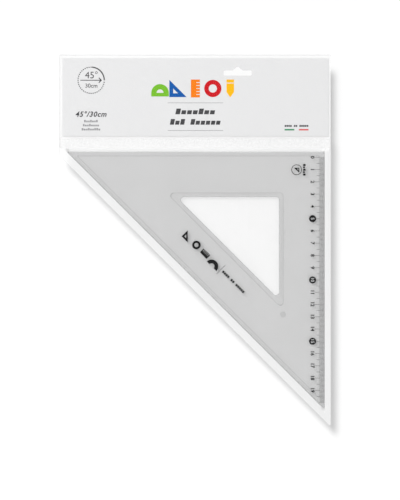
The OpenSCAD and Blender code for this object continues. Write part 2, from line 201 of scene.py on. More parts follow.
# %% Turn points and triangles into a piece
def piece(name, bm, finishes, body, smooth=True, sheet=False):
    """Makes an object from a bmesh, gives it its finishes and hangs it on a CAD body."""
    bmesh.ops.recalc_face_normals(bm, faces=bm.faces)
    if sheet and sum(f.normal.y for f in bm.faces) > 0:
        bmesh.ops.reverse_faces(bm, faces=bm.faces)  # a sheet's front faces the reader
    mesh = bpy.data.meshes.new(name)
    bm.to_mesh(mesh)
    bm.free()
    for finish in finishes:
        mesh.materials.append(finish)
    mesh.polygons.foreach_set("use_smooth", [smooth] * len(mesh.polygons))
    made = bpy.data.objects.new(name, mesh)
    bpy.context.scene.collection.objects.link(made)
    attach(made, body)
    print(name, len(mesh.vertices), "points")
    return made


def film(name, outlines, pitch, depth, finish, body, guides=()):
    """A sheet of film with no thickness, cut from outlines. depth(x, z) gives its y."""
    points, triangles = cut(outlines, pitch, guides)
    bm = bmesh.new()
    spots = [bm.verts.new((p.x, depth(p.x, p.y), p.y)) for p in points]
    for tri in triangles:
        bm.faces.new([spots[i] for i in tri])
    loose = [v for v in bm.verts if not v.link_faces]
    bmesh.ops.delete(bm, geom=loose, context="VERTS")
    return piece(name, bm, [finish], body, sheet=True)


# %% [markdown]
# ## Write finishes as sums
# A finish is a graph of nodes, and most of its nodes are arithmetic. This class wraps one socket
# and lets Python's operators add the Math nodes, so that a finish reads as a formula. The one
# method `node` adds anything else. Settings go first, because some change a node's sockets.

# %% The socket class
class Value:
    """One output socket of a finish, with arithmetic."""

    def __init__(self, tree, socket):
        self.tree = tree
        self.socket = socket

    def node(self, kind, settings=None, out=0, **sockets):
        """Adds a node and returns one of its outputs. Sockets are named with _ for a space."""
        made = self.tree.nodes.new(kind)
        for key, value in (settings or {}).items():
            if key == "stops":
                for stop, (place, colour) in zip(made.color_ramp.elements, value):
                    stop.position = place
                    stop.color = colour
            else:
                setattr(made, key, value)
        for key, value in sockets.items():
            at = int(key[1:]) if key[0] == "i" and key[1:].isdigit() else key.replace("_", " ")
            self.put(made.inputs[at], value)
        return Value(self.tree, made.outputs[out]) if made.outputs else None

    def put(self, socket, value):
        """Links a value to a socket, or sets the socket to a plain number or colour."""
        if isinstance(value, Value):
            self.tree.links.new(value.socket, socket)
        else:
            socket.default_value = value

    def math(self, operation, a, b=0.0):
        return self.node("ShaderNodeMath", {"operation": operation}, i0=a, i1=b)

    def __add__(self, other):
        return self.math("ADD", self, other)

    def __mul__(self, other):
        return self.math("MULTIPLY", self, other)

    def __sub__(self, other):
        return self.math("SUBTRACT", self, other)

    def __rsub__(self, other):
        return self.math("SUBTRACT", other, self)

    def __pow__(self, other):
        return self.math("POWER", self, other)

    __radd__ = __add__
    __rmul__ = __mul__


# %% Start a finish
def finish(name, **fixed):
    """A new finish. Its fixed values go straight on the shader's own sockets."""
    made = bpy.data.materials.new(name)
    made.use_nodes = True
    tree = made.node_tree
    shader = tree.nodes["Principled BSDF"]
    for key, value in fixed.items():
        shader.inputs[key.replace("_", " ")].default_value = value
    place = Value(tree, tree.nodes.new("ShaderNodeTexCoord").outputs["Object"])
    return made, shader, place


def grain(place, scale, detail=3.0, roughness=0.5):
    """Cloudy noise from 0 to 1, with `scale` clouds to the metre."""
    noise_kind = {"noise_dimensions": "3D"}
    return place.node("ShaderNodeTexNoise", noise_kind, Vector=place, Scale=scale,
                      Detail=detail, Roughness=roughness)


def tint(place, amount, dark, light):
    """A colour between dark and light."""
    kind = {"data_type": "RGBA"}
    return place.node("ShaderNodeMix", kind, out=2, i0=amount, i6=(*dark, 1), i7=(*light, 1))


def relief(place, height, distance, strength=1.0):
    """A normal that shows a height, in metres, as bumps."""
    return place.node("ShaderNodeBump", Height=height, Distance=distance, Strength=strength)


# %% [markdown]
# ## Smoke-tinted plastic
# The plate is injection-moulded acrylic with a grey tint. Glass shaders make such a thin plate
# noisy and dark, so the tint is done with transparency: each face lets most light through and
# adds a little grey. Light crosses two faces, the front and the back. The steps, their risers and
# the rounds along the front edges get darker, more opaque copies of the plastic: painted shade for
# the darker bands and lines that shading and refraction give them. The side walls are more opaque
# too, so that they cast a darker shadow.

# %% Finishes of the plate
def smoke(name, alpha, shade, roughness):
    """Grey clear plastic. alpha is how much one face hides."""
    made, shader, place = finish(name, IOR=1.49, Roughness=roughness)
    flow = grain(place, 14, 2)
    place.put(shader.inputs["Base Color"], tint(place, flow, shade, [c * 1.25 for c in shade]))
    place.put(shader.inputs["Alpha"], flow * (alpha * 0.12) + alpha * 0.94)
    ripple = grain(place, 45, 2) + grain(place, 900, 2) * 0.02
    place.put(shader.inputs["Normal"], relief(place, ripple, 0.0002, 0.25))
    return made


smoke_face = smoke("smoke_plastic_face", 0.11, (0.05, 0.051, 0.053), 0.14)
# The step and edge finishes are darker copies of the face: painted shade.
smoke_step_painted_shade = smoke("smoke_plastic_step_painted_shade", 0.119, (0.05, 0.051, 0.053), 0.22)
smoke_edge_painted_shade = smoke("smoke_plastic_edge_painted_shade", 0.4, (0.11, 0.112, 0.115), 0.3)
smoke_side = smoke("smoke_plastic_side", 0.42, (0.2, 0.202, 0.205), 0.3)
smoke_gate = smoke("smoke_plastic_gate", 0.2, (0.07, 0.07, 0.072), 0.35)

# %% [markdown]
# ## Films
# The bag is polypropylene film. The front is clear, with a painted sheen: its white shows more at
# its edges and at flat angles, so it hides more where it turns away. The back film is milky, which
# is why the cutout looks white, and a faint even glow is painted light for what seeps through it.
# Where it's drawn tight beyond the plate's edges it is clearer. It keeps faint stretch marks from
# the roll.

# %% Finishes of the films
def clear_film(name):
    made, shader, place = finish(name, IOR=1.49)
    # Painted sheen: the white film shows more where it turns away, standing in for its reflection.
    painted_sheen = place.node("ShaderNodeLayerWeight", Blend=0.35, out=1)
    haze = grain(place, 60, 3)
    place.put(shader.inputs["Base Color"], tint(place, haze, (0.8, 0.81, 0.83), (0.95, 0.96, 0.97)))
    place.put(shader.inputs["Alpha"], haze * 0.006 + painted_sheen ** 2.5 * 0.45 + 0.002)
    place.put(shader.inputs["Roughness"], haze * 0.1 + 0.08)
    place.put(shader.inputs["Normal"], relief(place, grain(place, 35, 2), 0.0006, 0.3))
    return made


FILM_SHADE = 0.9  # share of a lamp's light that milky film stops


def milky_film(name, alpha, painted_glow=0.0, dark=0.88, light=0.92):
    """Film that hides alpha of what lies behind it. The glow it is given is an even emission: painted
    light standing in for the light that seeps through it.
    """
    made, shader, place = finish(name, IOR=1.49, Emission_Color=(1, 1, 1, 1), Emission_Strength=painted_glow)
    cloud = grain(place, 25, 3)
    streaks = place.node("ShaderNodeMapping", Vector=place, Scale=(900.0, 900.0, 12.0))
    marks = grain(streaks, 1, 2)
    place.put(shader.inputs["Base Color"], tint(place, cloud, [dark] * 3, [light] * 3))
    shade = Value(place.tree, place.tree.nodes.new("ShaderNodeLightPath").outputs["Is Shadow Ray"])
    seen = cloud * 0.03 + marks * 0.02 + (alpha - 0.025)
    place.put(shader.inputs["Alpha"], seen * (1 - shade) + shade * FILM_SHADE)
    place.put(shader.inputs["Roughness"], marks * 0.12 + 0.28)
    place.put(shader.inputs["Normal"], relief(place, cloud + marks * 0.1, 0.0004, 0.3))
    return made


front_finish = clear_film("clear_film")
# The back film's small glow is painted light for what seeps through it from behind.
back_finish = milky_film("milky_film", 0.8, 0.03)
margin_finish = milky_film("margin_film", 0.72)
header_finish = milky_film("header_back_film", 0.86, 0.0, 0.85, 0.89)
flap_finish = milky_film("flap_film", 0.45)

# %% Finishes of the weld, the rim and the glue
def pressed_film(name, alpha, scale, dark=0.8, light=0.9):
    """Film that was pressed or melted: whiter, rougher and full of tiny bubbles."""
    made, shader, place = finish(name, IOR=1.49)
    froth = grain(place, scale, 4, 0.65)
    place.put(shader.inputs["Base Color"], tint(place, froth, [dark] * 3, [light] * 3))
    place.put(shader.inputs["Alpha"], froth * 0.25 + alpha)
    place.put(shader.inputs["Roughness"], froth * 0.3 + 0.25)
    place.put(shader.inputs["Normal"], relief(place, froth, 0.0003, 0.6))
    return made


weld_finish = pressed_film("welded_film", 0.35, 900)
rim_finish = pressed_film("melted_rim", 0.4, 1600, 0.95, 1)
tape_finish = pressed_film("adhesive", 0.3, 260)

# %% [markdown]
# ## Card and ink
# The card is coated board: nearly flat grey-white, with fine fibres under the coating. Ink on it
# dries a little glossier than the board and never lies quite evenly. Ink on the plate is screen
# printed, thicker, and dense black.

# %% Finishes of the card and its print
def board(name, dark, light):
    made, shader, place = finish(name, IOR=1.45)
    fibre = grain(place, 2600, 4, 0.6)
    patch = grain(place, 40, 2)
    place.put(shader.inputs["Base Color"], tint(place, fibre * 0.6 + patch * 0.4, dark, light))
    place.put(shader.inputs["Roughness"], fibre * 0.2 + 0.42)
    place.put(shader.inputs["Normal"], relief(place, fibre, 0.00003, 0.5))
    return made


def ink(name, colour, wear=0.12, roughness=0.35):
    """A layer of ink, with speckles where it lies thinner."""
    made, shader, place = finish(name, IOR=1.45, Specular_IOR_Level=0.15)
    speckle = grain(place, 3200, 3, 0.6)
    thin = [c + (0.8 - c) * wear for c in colour]
    place.put(shader.inputs["Base Color"], tint(place, speckle ** 3, colour, thin))
    place.put(shader.inputs["Roughness"], speckle * 0.2 + roughness)
    place.put(shader.inputs["Normal"], relief(place, speckle, 0.00002, 0.4))
    return made


def srgb(*levels):
    """A colour written in screen levels from 0 to 255, as the shader's linear numbers."""
    return [(v / 255 / 12.92) if v < 11 else ((v / 255 + 0.055) / 1.055) ** 2.4 for v in levels]


card_finish = board("card_board", srgb(220, 220, 221), srgb(225, 225, 225))
inks = {
    "black": ink("screen_ink", srgb(14, 14, 15), 0.03, 0.4),
    "grey": ink("grey_ink", srgb(64, 64, 66), 0.1),
    "light": ink("light_grey_ink", srgb(150, 150, 152), 0.2),
    "red": ink("red_ink", srgb(200, 4, 22), 0.05),
    "yellow": ink("yellow_ink", srgb(247, 184, 0), 0.05),
    "blue": ink("blue_ink", srgb(0, 86, 164), 0.05),
    "orange": ink("orange_ink", srgb(240, 124, 0), 0.05),
    "green": ink("green_ink", srgb(116, 184, 40), 0.05),
    "dark_green": ink("dark_green_ink", srgb(52, 138, 92), 0.15),
    "pale_red": ink("pale_red_ink", srgb(214, 92, 92), 0.15),
    "bare": ink("bare_figure", srgb(196, 197, 198), 0.02),
}
print("inks:", ", ".join(inks))

# %% Dress the CAD nodes that stay
DRESS = {
    "header_card": card_finish,
    "adhesive_strip": tape_finish,
    "millimetre_ticks": inks["black"],
    "half_centimetre_ticks": inks["black"],
    "centimetre_ticks": inks["black"],
    "plate_symbols": inks["black"],
    "plate_divider": inks["black"],
    "plate_small_print": inks["black"],
    "plate_seal": inks["black"],
    "plate_side_print": inks["black"],
    "icon_dotted_ring": inks["black"],
    "icon_arc": inks["grey"],
    "icon_arrow": inks["grey"],
    "small_lines": inks["light"],
    "symbol_protractor": inks["green"],
    "symbol_set_square": inks["blue"],
    "symbol_ruler": inks["orange"],
    "symbol_circle": inks["red"],
    "symbol_pencil": inks["yellow"],
    "title_rules": inks["light"],
    "title_lines": inks["grey"],
    "origin_line": inks["grey"],
    "origin_green_bar": inks["dark_green"],
    "origin_red_bar": inks["pale_red"],
}
for node, dress in DRESS.items():
    mesh = frame["nodes"][node].data
    mesh.materials.clear()
    mesh.materials.append(dress)
print("dressed nodes:", len(DRESS))

# %% [markdown]
# ## The plate
# One moulding, 2 mm thick. Its front is flat and printed. Its back has a shallow step round the
# outer edges and round the cutout, so that wet ink is never dragged under the edge. The mesh is a
# stack of outlines: side walls join one outline to the next, and flat faces are cut from them.
# Each outer edge has a small radius, as a mould leaves it, which catches the light.

# %% Shape of the plate
STEP = 3.3 * MM       # width of the step along the top, the hypotenuse and the cutout
SCALE_STEP = 4 * MM   # width of the step along the scale
STEP_DEPTH = 0.5 * MM
STEP_R = 0.1 * MM     # the step's small round where it meets the side
RISER = 0.25 * MM     # how far the step's riser leans
RIM = 37 * MM         # from an outer edge to the cutout
CUTOUT_R = 2.5 * MM
CORNER_R = 0.3 * MM   # at the plate's three corners
EDGE_R = 0.3 * MM
y_front = plate_low.y
y_back = plate_high.y
y_step = y_back - STEP_DEPTH
FACE, LEDGE, EDGE, SIDE, GATE = 0, 1, 2, 3, 4

outer = [
    (plate_outline(EDGE_R, 0.1 * MM), y_front),
    (plate_outline(EDGE_R * 0.3, CORNER_R), y_front + EDGE_R * 0.3),
    (plate_outline(0, CORNER_R + STEP_R), y_front + EDGE_R),
    (plate_outline(0, CORNER_R + STEP_R), y_step - STEP_R),
    (plate_outline(STEP_R, CORNER_R), y_step),
    (plate_outline(STEP, CORNER_R, SCALE_STEP), y_step),
    (plate_outline(STEP + RISER, CORNER_R, SCALE_STEP + RISER), y_back),
]
hole = [
    (plate_outline(RIM - EDGE_R, CUTOUT_R + EDGE_R), y_front),
    (plate_outline(RIM - EDGE_R * 0.3, CUTOUT_R + EDGE_R * 0.3), y_front + EDGE_R * 0.3),
    (plate_outline(RIM, CUTOUT_R), y_front + EDGE_R),
    (plate_outline(RIM, CUTOUT_R), y_step - STEP_R),
    (plate_outline(RIM - STEP_R, CUTOUT_R + STEP_R), y_step),
    (plate_outline(RIM - STEP, CUTOUT_R), y_step),
    (plate_outline(RIM - STEP - RISER, CUTOUT_R), y_back),
]
# Steps, risers and edge rounds take the painted-shade finishes, and the side walls the more opaque one.
outer_kinds = [LEDGE, LEDGE, SIDE, SIDE, LEDGE, EDGE]
hole_kinds = [EDGE, EDGE, SIDE, SIDE, LEDGE, EDGE]

# %% The gate mark
GATE_R = 2.3 * MM
GATE_DEPTH = 0.2 * MM
tip = plate_outline(RIM, 0.01 * MM)
gate_at = Vector((plate_high.x - RIM + 3.4 * MM, min(p.y for p in tip) - 12.2 * MM))
turns = [Vector((math.cos(a * math.tau / 32), math.sin(a * math.tau / 32))) for a in range(32)]
gate = [
    ([gate_at + t * GATE_R for t in turns], y_back),
    ([gate_at + t * (GATE_R - 0.15 * MM) for t in turns], y_back - GATE_DEPTH),
]
print("gate mark at", [round(v / MM, 1) for v in gate_at])

# %% Build the plate
def wall(bm, low, high, kind):
    """A band of faces between two outlines with the same number of points."""
    a = [bm.verts.new((p.x, low[1], p.y)) for p in low[0]]
    b = [bm.verts.new((p.x, high[1], p.y)) for p in high[0]]
    for i in range(len(a)):
        j = (i + 1) % len(a)
        face = bm.faces.new((a[i], a[j], b[j], b[i]))
        face.material_index = kind


def lid(bm, outlines, y, kind):
    """A flat face cut from outlines, at a depth."""
    points, triangles = cut(outlines)
    spots = [bm.verts.new((p.x, y, p.y)) for p in points]
    for tri in triangles:
        face = bm.faces.new([spots[i] for i in tri])
        face.material_index = kind


bm = bmesh.new()
for k in range(len(outer) - 1):
    wall(bm, outer[k], outer[k + 1], outer_kinds[k])
    wall(bm, hole[k], hole[k + 1], hole_kinds[k])
wall(bm, gate[0], gate[1], EDGE)
lid(bm, [outer[0][0], hole[0][0]], y_front, FACE)
lid(bm, [outer[-1][0], hole[-1][0], gate[0][0]], y_back, FACE)
lid(bm, [gate[1][0]], gate[1][1], GATE)
WELD_DIST = 0.002 * MM  # points closer than this are one
bmesh.ops.remove_doubles(bm, verts=bm.verts, dist=WELD_DIST)
open_edges = sum(1 for e in bm.edges if not e.is_manifold)
plate_finishes = [smoke_face, smoke_step_painted_shade, smoke_edge_painted_shade, smoke_side, smoke_gate]
plate_piece = piece("smoke_plate", bm, plate_finishes, "set_square", smooth=False)
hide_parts("plate")
print("open edges of the plate:", open_edges)

# %% [markdown]
# ## Figures
# The scale's numerals and the card's angle and length are plain figures, so Blender's own font
# draws them. A text object is turned into a mesh at once and laid down as a thin layer of ink,
# so that it rides and exports like any other piece. Numerals on the scale lie on their side, with
# their tops towards the edge.

# %% Lettering
FIGURE_TALL = 0.73  # height of a figure in the font, at size 1
INK_T = 0.04 * MM


def glyphs(text, height, slant=0.0, bold=0.0, spread=1.0):
    """A flat mesh of a text as tall as its figures should be, centred on the origin."""
    curve = bpy.data.curves.new("lettering", "FONT")
    curve.body = text
    curve.align_x = "CENTER"
    curve.align_y = "CENTER"
    curve.shear = slant
    curve.offset = bold
    curve.space_character = spread
    curve.resolution_u = 4
    curve.extrude = 0.02
    holder = bpy.data.objects.new("lettering", curve)
    mesh = bpy.data.meshes.new_from_object(holder)
    bm = bmesh.new()
    bm.from_mesh(mesh)
    bpy.data.objects.remove(holder)
    bpy.data.curves.remove(curve)
    bpy.data.meshes.remove(mesh)
    flat = height / FIGURE_TALL
    lows = [min(v.co[i] for v in bm.verts) for i in (0, 1)]
    tops = [max(v.co[i] for v in bm.verts) for i in (0, 1)]
    for v in bm.verts:
        v.co.x = (v.co.x - (lows[0] + tops[0]) / 2) * flat
        v.co.y = (v.co.y - (lows[1] + tops[1]) / 2) * flat
    return bm


def print_on(target, bm, centre, y, turn=0.0, thick=INK_T):
    """Adds lettering to target, standing upright and facing the reader, at a place in x and z."""
    c, s = math.cos(turn), math.sin(turn)
    moved = {}
    for v in bm.verts:
        x = centre.x + v.co.x * c - v.co.y * s
        z = centre.y + v.co.x * s + v.co.y * c
        moved[v] = target.verts.new((x, y if v.co.z > 0 else y + thick, z))
    for f in bm.faces:
        target.faces.new([moved[v] for v in f.verts])
    bm.free()


# %% Numerals of the scale
ticks_low, ticks_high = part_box("centimetre_ticks")
HALF_LINE = 0.11 * MM  # half a graduation's width
zero_z = ticks_high.z - HALF_LINE
CM = 10 * MM
last = round((zero_z - ticks_low.z) / CM)
numerals_low, numerals_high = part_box("numeral_badges")
numeral_x = (numerals_low.x + numerals_high.x) / 2
ink_y = numerals_low.y
NUMERAL_H = 3.0 * MM
BADGE_R = (numerals_high.x - numerals_low.x) / 2

plain = bmesh.new()
bare = bmesh.new()
discs = bmesh.new()
for n in range(last):
    at = Vector((numeral_x, zero_z - n * CM))
    badge = n > 0 and n % 5 == 0
    shape = glyphs(str(n), NUMERAL_H * (0.94 if badge else 1), bold=0.01 if badge else 0.034)
    print_on(bare if badge else plain, shape, at, ink_y - (0.03 * MM if badge else 0), -math.pi / 2)
    if badge:
        round_edge = [at + t * BADGE_R for t in turns]
        soft_edge = [at + t * (BADGE_R - INK_T) for t in turns]
        wall(discs, (round_edge, ink_y + INK_T), (round_edge, ink_y + INK_T / 2), 0)
        wall(discs, (round_edge, ink_y + INK_T / 2), (soft_edge, ink_y), 0)
        lid(discs, [soft_edge], ink_y, 0)
        lid(discs, [round_edge], ink_y + INK_T, 0)
bmesh.ops.remove_doubles(discs, verts=discs.verts, dist=WELD_DIST)
numerals = piece("scale_figures", plain, [inks["black"]], "set_square", smooth=False)
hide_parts("scale_numerals")
badges = piece("badge_discs", discs, [inks["black"]], "set_square", smooth=False)
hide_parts("numeral_badges")
badge_figures = piece("badge_figures", bare, [inks["bare"]], "set_square", smooth=False)
print("numerals 0 to", last - 1)

# %% Figures on the card
ring_low, ring_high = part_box("icon_dotted_ring")
ring_at = Vector(((ring_low.x + ring_high.x) / 2, (ring_low.z + ring_high.z) / 2))
size_low, size_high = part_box("size_figures")
size_at = Vector(((size_low.x + size_high.x) / 2, (size_low.z + size_high.z) / 2))
card_ink_y = ring_low.y
DEGREE = chr(176)

angle = bmesh.new()
print_on(angle, glyphs("45" + DEGREE, 5.7 * MM), ring_at + Vector((0.2, 4.4)) * MM, card_ink_y)
print_on(angle, glyphs("30cm", 3.4 * MM, bold=0.008), ring_at + Vector((0.2, -4.4)) * MM, card_ink_y)
angle_piece = piece("angle_figures", angle, [inks["grey"]], "bag", smooth=False)
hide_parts("icon_figures")

size = bmesh.new()
size_shape = glyphs("45" + DEGREE + "/30cm", 4.3 * MM, slant=0.25, bold=0.024, spread=1.12)
print_on(size, size_shape, size_at, card_ink_y)
size_piece = piece("size_lettering", size, [inks["grey"]], "bag", smooth=False)
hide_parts("size_figures")

# %% [markdown]
# ## The hang slot
# The card and both header films share one hole: a bar with round corners and a seat for the peg in
# the middle of its top. The frame's origin is the centre of a peg in that seat, so the hole can
# be drawn from its sizes alone.

# %% Outline of the slot
SLOT_W = 23 * MM
SLOT_H = 4.2 * MM
SLOT_R = 1.3 * MM
PEG_R = 2 * MM
PEG_RISE = 0.8 * MM
SEAT_HALF = 4.3 * MM


def arc(centre, radius, start, end, steps=10):
    """Points on an arc, with angles in degrees."""
    angles = [math.radians(start + (end - start) * k / steps) for k in range(steps + 1)]
    return [centre + Vector((math.cos(a), math.sin(a))) * radius for a in angles]


end_x = SLOT_W / 2 - SLOT_R
bar_top = -PEG_RISE - SLOT_R
bar_foot = -PEG_RISE - SLOT_H + SLOT_R
slot = arc(Vector((-end_x, bar_top)), SLOT_R, 90, 180)
slot += arc(Vector((-end_x, bar_foot)), SLOT_R, 180, 270)
slot += arc(Vector((end_x, bar_foot)), SLOT_R, -90, 0)
slot += arc(Vector((end_x, bar_top)), SLOT_R, 0, 90)
slot += [Vector((SEAT_HALF, -PEG_RISE))]
slot += arc(Vector((0, 0)), PEG_R, 25, 155)
slot += [Vector((-SEAT_HALF, -PEG_RISE))]
print("slot points:", len(slot))

# %% [markdown]
# ## The films of the bag
# The front is one clear sheet, flat over the card and faintly slack over the pocket. Behind the
# header a second sheet closes the card in. The pocket's back sheet is the one that gives the bag
# its depth: it lies flat behind the plate, then bends forward over the plate's edges to the
# welded rim. Cloth simulation would only find the same shape slowly, so the bend is a formula of
# the distance to the rim, and the slackness is smooth noise.

# %% Distance to the rim, and slackness
BEAD = 0.4 * MM
FILM_INSET = BEAD * 0.8  # how far the films stop short of the bead's outer edge


def from_rim(x, z):
    """Distance from the bag's left, slanted or right edge, and the margin the film has there."""
    left = (x - bag_low.x, plate_sum - plate_high.z - bag_low.x)
    right = (bag_high.x - x, bag_high.x - plate_high.x)
    slanted = ((x + z - bag_sum) / math.sqrt(2), (plate_sum - bag_sum) / math.sqrt(2))
    return min(left, right, slanted)


def slack(x, z, scale, seed):
    """Smooth noise from -1 to 1 for slack film."""
    return noise.noise(Vector((x * scale, z * scale, seed)))


def ease(t):
    """0 to 1 with a soft start and end."""
    t = min(max(t, 0), 1)
    return t * t * (3 - 2 * t)


print("margin right of the plate:", round(from_rim(bag_high.x - MM, 0)[1] / MM, 2), "mm")

# %% The front film
mid_front = (front_low.y + front_high.y) / 2


def front_depth(x, z):
    """The front film puffs forward a little over the pocket and stays flat over the card."""
    below = ease((weld_low.z - z) / (12 * MM))
    inward = ease((from_rim(x, z)[0] - 2 * MM) / (14 * MM))
    puff = 0.16 + 0.07 * slack(x, z, 30, 1.5) + 0.04 * slack(x * 2 + z, z, 24, 4.0)
    over_card = ease((z - card_low.z) / (4 * MM)) * inward * (0.06 + 0.06 * slack(x, z, 30, 8))
    return mid_front - (puff * below * inward + over_card) * MM


front = film("front_sheet", [bag_outline(FILM_INSET), slot], 2.2 * MM, front_depth, front_finish, "bag")
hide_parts("front_film")

# %% The header's back film
mid_header = (header_low.y + header_high.y) / 2
lip_z = weld_low.z - 0.4 * MM  # the cut edge of the header's film, just below the weld
header_outline = [p for p in bag_outline(FILM_INSET) if p.y > weld_low.z]
header_outline += [Vector((bag_high.x - FILM_INSET, lip_z)), Vector((bag_low.x + FILM_INSET, lip_z))]
middle = Vector((0, (bag_high.z + weld_low.z) / 2))
header_outline.sort(key=lambda p: math.atan2(p.y - middle.y, p.x - middle.x))


def header_depth(x, z):
    """Flat behind the card, and a hair slack between the card and the weld."""
    gap = ease((card_low.z - z) / (1 * MM)) * ease((z - weld_high.z) / (0.5 * MM))
    return mid_header + 0.02 * MM * gap * slack(x, z, 40, 5)


header = film("header_back_sheet", [header_outline, slot], 2.4 * MM, header_depth, header_finish, "bag")
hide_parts("header_back_film")

# %% The pocket's back film
mid_back = (back_low.y + back_high.y) / 2
WRAP = 0.08 * MM   # how close the film comes to the plate's edge
DIVE = 0.25 * MM   # how far from there it takes to come forward
CLIMB = 4 * MM     # height below the weld over which its rim moves up to the header's film


def pocket_depth(x, z):
    """Flat behind the plate, then forward past its edges, and almost flat again to the rim."""
    away, margin = from_rim(x, z)
    rim_y = front_high.y + 0.1 * MM
    if z > weld_low.z - CLIMB:
        rim_y += (header_high.y - rim_y) * ease((z - weld_low.z + CLIMB) / CLIMB)
    t = min(max((away - BEAD) / (margin - WRAP - BEAD), 0), 1)
    dive = max(0, 1 - max(0, margin - WRAP - away) / DIVE) ** 2
    soft = ease((away - margin) / (20 * MM)) * (0.25 + 0.2 * slack(x, z, 26, 12))
    return rim_y + (mid_back - rim_y) * (0.1 * t * t + 0.9 * dive) + soft * MM


bends = [plate_outline(-WRAP - k * DIVE / 5, 0.1 * MM) for k in range(7)]
pocket = film("pocket_sheet", [bag_outline(FILM_INSET, top=back_high.z)], 1.6 * MM, pocket_depth,
              back_finish, "bag", bends)
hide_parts("pocket_back_film", "pocket_left_wall", "pocket_slanted_wall",
            "pocket_right_wall", "pocket_left_rim", "pocket_slanted_rim", "pocket_right_rim")
pocket.data.materials.append(margin_finish)
for part in pocket.data.polygons:
    away, margin = from_rim(part.center.x, part.center.z)
    part.material_index = int(away < margin - WRAP and part.center.z < weld_low.z)

# %% [markdown]
# ## The weld and the melted rim
# Under the card a heated bar with ridges presses the two films together. Its ridges are 1 mm
# apart, close enough to see as fine lines, so they are modelled as a ribbed sheet. Round the bag
# a hot wire both cuts and seals, and leaves a thin rounded bead that catches the light.

# %% The ribbed weld
RIB = 1.0 * MM
columns = int((weld_high.x - weld_low.x) / (RIB / 5))
rows = 14
mid_weld = (weld_low.y + weld_high.y) / 2
bm = bmesh.new()
grid = []
for i in range(columns + 1):
    x = weld_low.x + (weld_high.x - weld_low.x) * i / columns
    line = []
    for j in range(rows + 1):
        z = weld_low.z + (weld_high.z - weld_low.z) * j / rows
        side = ease(min(j, rows - j) / 2)
        press = 0.7 + 0.3 * slack(x, z, 55, 20)
        y = mid_weld + 0.12 * MM * math.sin(x / RIB * math.tau) * side * press
        line.append(bm.verts.new((x, y, z)))
    grid.append(line)
for i in range(columns):
    for j in range(rows):
        bm.faces.new((grid[i][j], grid[i + 1][j], grid[i + 1][j + 1], grid[i][j + 1]))
weld = piece("ribbed_weld", bm, [weld_finish], "bag")
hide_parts("header_weld")

# %% The melted rim
path = dotted(bag_outline(BEAD / 2), 1.5 * MM)
sides = 8
bm = bmesh.new()
loops = []
for i, here in enumerate(path):
    along = (path[(i + 1) % len(path)] - path[i - 1]).normalized()
    out = Vector((along.y, -along.x))
    in_header = ease((here.y - weld_low.z + 2 * MM) / (2 * MM))
    depth = (0.1 + 0.215 * in_header) * MM
    wide = BEAD / 2 * (0.9 + 0.18 * slack(here.x, here.y, 160, 3))
    loop = []
    for k in range(sides):
        a = math.tau * k / sides
        spot = here + out * math.cos(a) * wide
        loop.append(bm.verts.new((spot.x, front_low.y + depth + math.sin(a) * depth, spot.y)))
    loops.append(loop)
for i in range(len(loops)):
    a, b = loops[i], loops[(i + 1) % len(loops)]
    for k in range(sides):
        bm.faces.new((a[k], a[(k + 1) % sides], b[(k + 1) % sides], b[k]))
rim = piece("melted_rim", bm, [rim_finish], "bag")
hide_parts("edge_bead")

# %% [markdown]
# ## The closing flap
# Above its fold the pocket's film goes on as a flap, which is folded down over the mouth and
# stuck there. It leans against the header's back film. Its lower end rolls round the fold, so
# that no gap shows between it and the pocket when it turns back.

# %% The flap
FOLD_R = 0.2 * MM
FLAP_TAPER = 8 * MM
FLAP_COLUMNS = 60
FLAP_STEPS = 12
hinge = next(j for j in frame["joints"] if j["name"] == "flap_hinge")
fold = Vector(hinge["pos_m"])
lean = math.atan2(fold.y - (tape_low.y + tape_high.y) / 2, tape_high.z - fold.z)
flap_top = flap_high.z - fold.z
flap_x0, flap_x1 = flap_low.x, flap_high.x
profile = [(math.cos(a) * FOLD_R, math.sin(a) * FOLD_R) for a in
           [math.radians(-150 + 15 * k) for k in range(11)]]
bm = bmesh.new()
grid = []
for i in range(FLAP_COLUMNS + 1):
    share = i / FLAP_COLUMNS
    column = [(y, z, 0) for y, z in profile]
    for k in range(FLAP_STEPS + 1):
        up = k / FLAP_STEPS
        sag = 0.12 * MM * math.sin(up * math.pi) * (1 + slack(share * 0.2, up * 0.02, 40, 6))
        column.append((-math.tan(lean) * up * flap_top + FOLD_R * (1 - up) + sag, up * flap_top, up))
    line = []
    for y, z, up in column:
        x0 = flap_x0 + FLAP_TAPER * up
        x1 = flap_x1 - FLAP_TAPER * up
        line.append(bm.verts.new((x0 + (x1 - x0) * share, fold.y + y, fold.z + z)))
    grid.append(line)
for i in range(FLAP_COLUMNS):
    for j in range(len(grid[0]) - 1):
        bm.faces.new((grid[i][j], grid[i + 1][j], grid[i + 1][j + 1], grid[i][j + 1]))
flap = piece("flap_sheet", bm, [flap_finish], "flap", sheet=True)
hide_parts("closing_flap")
print("flap leans", round(math.degrees(lean), 1), "degrees")

# %% [markdown]
# Each film is a sheet that was cut flat. Its area is that of its outline.

# %% Areas of the films
def area_of(outline):
    """Area inside an outline."""
    pairs = zip(outline, outline[1:] + outline[:1])
    return abs(sum(a.x * b.y - b.x * a.y for a, b in pairs)) / 2


bag_area = area_of(bag_outline(0))
pocket_area = area_of(bag_outline(0, top=back_high.z))
print("bag film:", round(bag_area * 1e4), "square centimetres")

# %% Films that cast no shadow
for thin in (front, header, weld, flap):
    thin.visible_shadow = False  # film this thin lets the light on through it

# %% [markdown]
# ## Floor and backdrop
# The bag hangs a little in front of a white board, which takes its soft shadow. A lamp of its own
# throws that shadow, right and down, and doesn't light the object. The board glows a little so
# that its lit part is pure white, and its back face is clear, so that it never hides the bag from
# behind. The floor is pale and well below.

